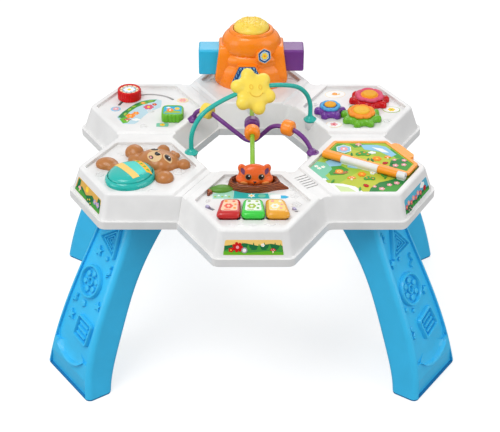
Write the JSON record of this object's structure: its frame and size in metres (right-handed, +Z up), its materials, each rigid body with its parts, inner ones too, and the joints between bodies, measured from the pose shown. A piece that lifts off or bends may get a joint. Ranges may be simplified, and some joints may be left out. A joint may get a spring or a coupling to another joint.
{
  "type": "musical activity table",
  "caption": "Free-standing baby activity table: a ring of hexagonal play panels with keys, sliders, gears, flip page, hive and bead wires on splayed legs.",
  "frame": {"origin": "on the floor under the middle of the ring of panels", "axes": "+Z up, -Y towards the front panel with the keys, +X to the right seen from the front"},
  "size_m": [0.6348, 0.5716, 0.4389],
  "materials": {
    "white_shell": "satin",
    "leg_blue": "satin",
    "pad_rubber": "satin",
    "screw_steel": "satin",
    "cell": "satin",
    "speaker": "satin",
    "board_green": "satin",
    "mat_rubber": "satin",
    "spring_steel": "satin",
    "switch_lilac": "gloss",
    "key_red": "gloss",
    "key_green": "gloss",
    "key_amber": "gloss",
    "stump_brown": "satin",
    "leaf_green": "satin",
    "critter_orange": "gloss",
    "bear_brown": "satin",
    "tummy_teal": "gloss",
    "slider_red": "satin",
    "slider_green": "satin",
    "gear_green": "satin",
    "gear_red": "satin",
    "gear_purple": "satin",
    "disc_orange": "satin",
    "disc_pink": "satin",
    "disc_blue": "satin",
    "page_orange": "satin",
    "page_print": "satin",
    "hive_amber": "satin",
    "cap_yellow": "gloss",
    "bar_blue": "satin",
    "bar_purple": "satin",
    "wire_teal": "satin",
    "wire_green": "satin",
    "wire_purple": "satin",
    "star_yellow": "satin",
    "bead_orange": "satin"
  },
  "bodies": {
    "table": {"deck_front": "white_shell", "deck_left": "white_shell", "deck_back": "white_shell", "cover_front": "white_shell", "cover_left": "white_shell", "cover_back": "white_shell", "battery_door": "white_shell", "leg_front_right": "leg_blue", "leg_back_right": "leg_blue", "leg_back_left": "leg_blue", "leg_front_left": "leg_blue", "foot_pads": "pad_rubber", "screws": "screw_steel", "batteries": "cell", "speaker": "speaker", "circuit_board": "board_green", "button_boards": "board_green", "key_mat": "mat_rubber", "critter_spring": "spring_steel", "tummy_spring": "spring_steel", "cap_spring": "spring_steel", "stump": "stump_brown", "leaf": "leaf_green", "bear": "bear_brown", "gear_axles": "white_shell", "page_board": "page_print", "page_barrels": "white_shell", "page_pin": "screw_steel", "hive_body": "hive_amber", "hive_window": "bar_blue", "wire_teal": "wire_teal", "wire_green": "wire_green", "wire_purple": "wire_purple"},
    "volume_switch": {"volume_knob": "switch_lilac"},
    "mode_switch": {"mode_knob": "switch_lilac"},
    "red_key": {"key_red": "key_red"},
    "green_key": {"key_green": "key_green"},
    "amber_key": {"key_amber": "key_amber"},
    "critter": {"critter_head": "critter_orange"},
    "tummy_button": {"tummy": "tummy_teal"},
    "cap_button": {"hive_cap": "cap_yellow"},
    "drum": {"red_slider": "slider_red"},
    "block": {"green_slider": "slider_green"},
    "green_flower": {"gear_green": "gear_green", "gear_green_disc": "disc_orange"},
    "red_flower": {"gear_red": "gear_red", "gear_red_disc": "disc_pink"},
    "purple_flower": {"gear_purple": "gear_purple", "gear_purple_disc": "disc_blue"},
    "page": {"page_frame": "page_orange", "page_card": "page_print"},
    "bar": {"bar_blue": "bar_blue", "bar_purple": "bar_purple"},
    "star_bead": {"star": "star_yellow"},
    "yellow_bead": {"bead_yellow": "star_yellow"},
    "right_orange_bead": {"bead_orange_right": "bead_orange"},
    "centre_orange_bead": {"bead_orange_center": "bead_orange"},
    "centre_purple_bead": {"bead_purple": "wire_purple"}
  },
  "joints": [
    {"name": "volume_slide", "type": "slide", "parent": "table", "child": "volume_switch", "axis": [0.7986, -0.6018, 0], "range_m": [0, 0.008]},
    {"name": "mode_slide", "type": "slide", "parent": "table", "child": "mode_switch", "axis": [0.6157, -0.788, 0], "range_m": [0, 0.004]},
    {"name": "red_press", "type": "slide", "parent": "table", "child": "red_key", "axis": [0, 0, -1], "range_m": [0, 0.0025], "stiffness_N_per_m": 400, "springref_m": -0.001},
    {"name": "green_press", "type": "slide", "parent": "table", "child": "green_key", "axis": [0, 0, -1], "range_m": [0, 0.0025], "stiffness_N_per_m": 400, "springref_m": -0.001},
    {"name": "amber_press", "type": "slide", "parent": "table", "child": "amber_key", "axis": [0, 0, -1], "range_m": [0, 0.0025], "stiffness_N_per_m": 400, "springref_m": -0.001},
    {"name": "critter_press", "type": "slide", "parent": "table", "child": "critter", "axis": [0, 0, -1], "range_m": [0, 0.004], "stiffness_N_per_m": 500, "springref_m": -0.003, "deforming": ["critter_spring"]},
    {"name": "tummy_press", "type": "slide", "parent": "table", "child": "tummy_button", "axis": [0, 0, -1], "range_m": [0, 0.004], "stiffness_N_per_m": 500, "springref_m": -0.003, "deforming": ["tummy_spring"]},
    {"name": "cap_press", "type": "slide", "parent": "table", "child": "cap_button", "axis": [0, 0, -1], "range_m": [0, 0.004], "stiffness_N_per_m": 600, "springref_m": -0.004, "deforming": ["cap_spring"]},
    {"name": "drum_track", "type": "hinge", "parent": "table", "child": "drum", "pos_m": [-0.1647, 0.09526, 0.318], "axis": [0, 0, 1], "range_deg": [-90, 33]},
    {"name": "block_track", "type": "hinge", "parent": "table", "child": "block", "pos_m": [-0.1647, 0.09526, 0.318], "axis": [0, 0, 1], "range_deg": [-8, 49]},
    {"name": "green_spin", "type": "hinge", "parent": "table", "child": "green_flower", "pos_m": [0.173, 0.06226, 0.318], "axis": [0, 0, 1], "continuous": true},
    {"name": "red_spin", "type": "hinge", "parent": "table", "child": "red_flower", "pos_m": [0.19031, 0.11888, 0.318], "axis": [0, 0, 1], "continuous": true},
    {"name": "purple_spin", "type": "hinge", "parent": "table", "child": "purple_flower", "pos_m": [0.12497, 0.08167, 0.318], "axis": [0, 0, 1], "continuous": true},
    {"name": "page_turn", "type": "hinge", "parent": "table", "child": "page", "pos_m": [0.165, -0.09526, 0.3258], "axis": [0.866, -0.5, 0], "range_deg": [0, 180]},
    {"name": "bar_slide", "type": "slide", "parent": "table", "child": "bar", "axis": [1, 0, 0], "range_m": [-0.02, 0.02]},
    {"name": "star_ride", "type": "hinge", "parent": "table", "child": "star_bead", "pos_m": [0, 0, 0.203], "axis": [0.5, -0.866, 0], "range_deg": [-11, 11]},
    {"name": "yellow_ride", "type": "hinge", "parent": "table", "child": "yellow_bead", "pos_m": [-0.07101, 0.041, 0.31983], "axis": [-0.5, -0.866, 0], "range_deg": [-8, 50]},
    {"name": "right_orange_ride", "type": "hinge", "parent": "table", "child": "right_orange_bead", "pos_m": [0.05283, -0.0305, 0.30792], "axis": [-0.5, -0.866, 0], "range_deg": [-50, 3]},
    {"name": "centre_orange_ride", "type": "hinge", "parent": "table", "child": "centre_orange_bead", "pos_m": [0, 0, -0.075], "axis": [1, 0, 0], "range_deg": [0, 5.5]},
    {"name": "centre_purple_ride", "type": "hinge", "parent": "table", "child": "centre_purple_bead", "pos_m": [0, 0, -0.075], "axis": [1, 0, 0], "range_deg": [-8, 0]}
  ],
  "couplings": [
    {"joint": "red_spin", "follows": "green_spin", "ratio": -1},
    {"joint": "purple_spin", "follows": "green_spin", "ratio": -1.3333}
  ]
}
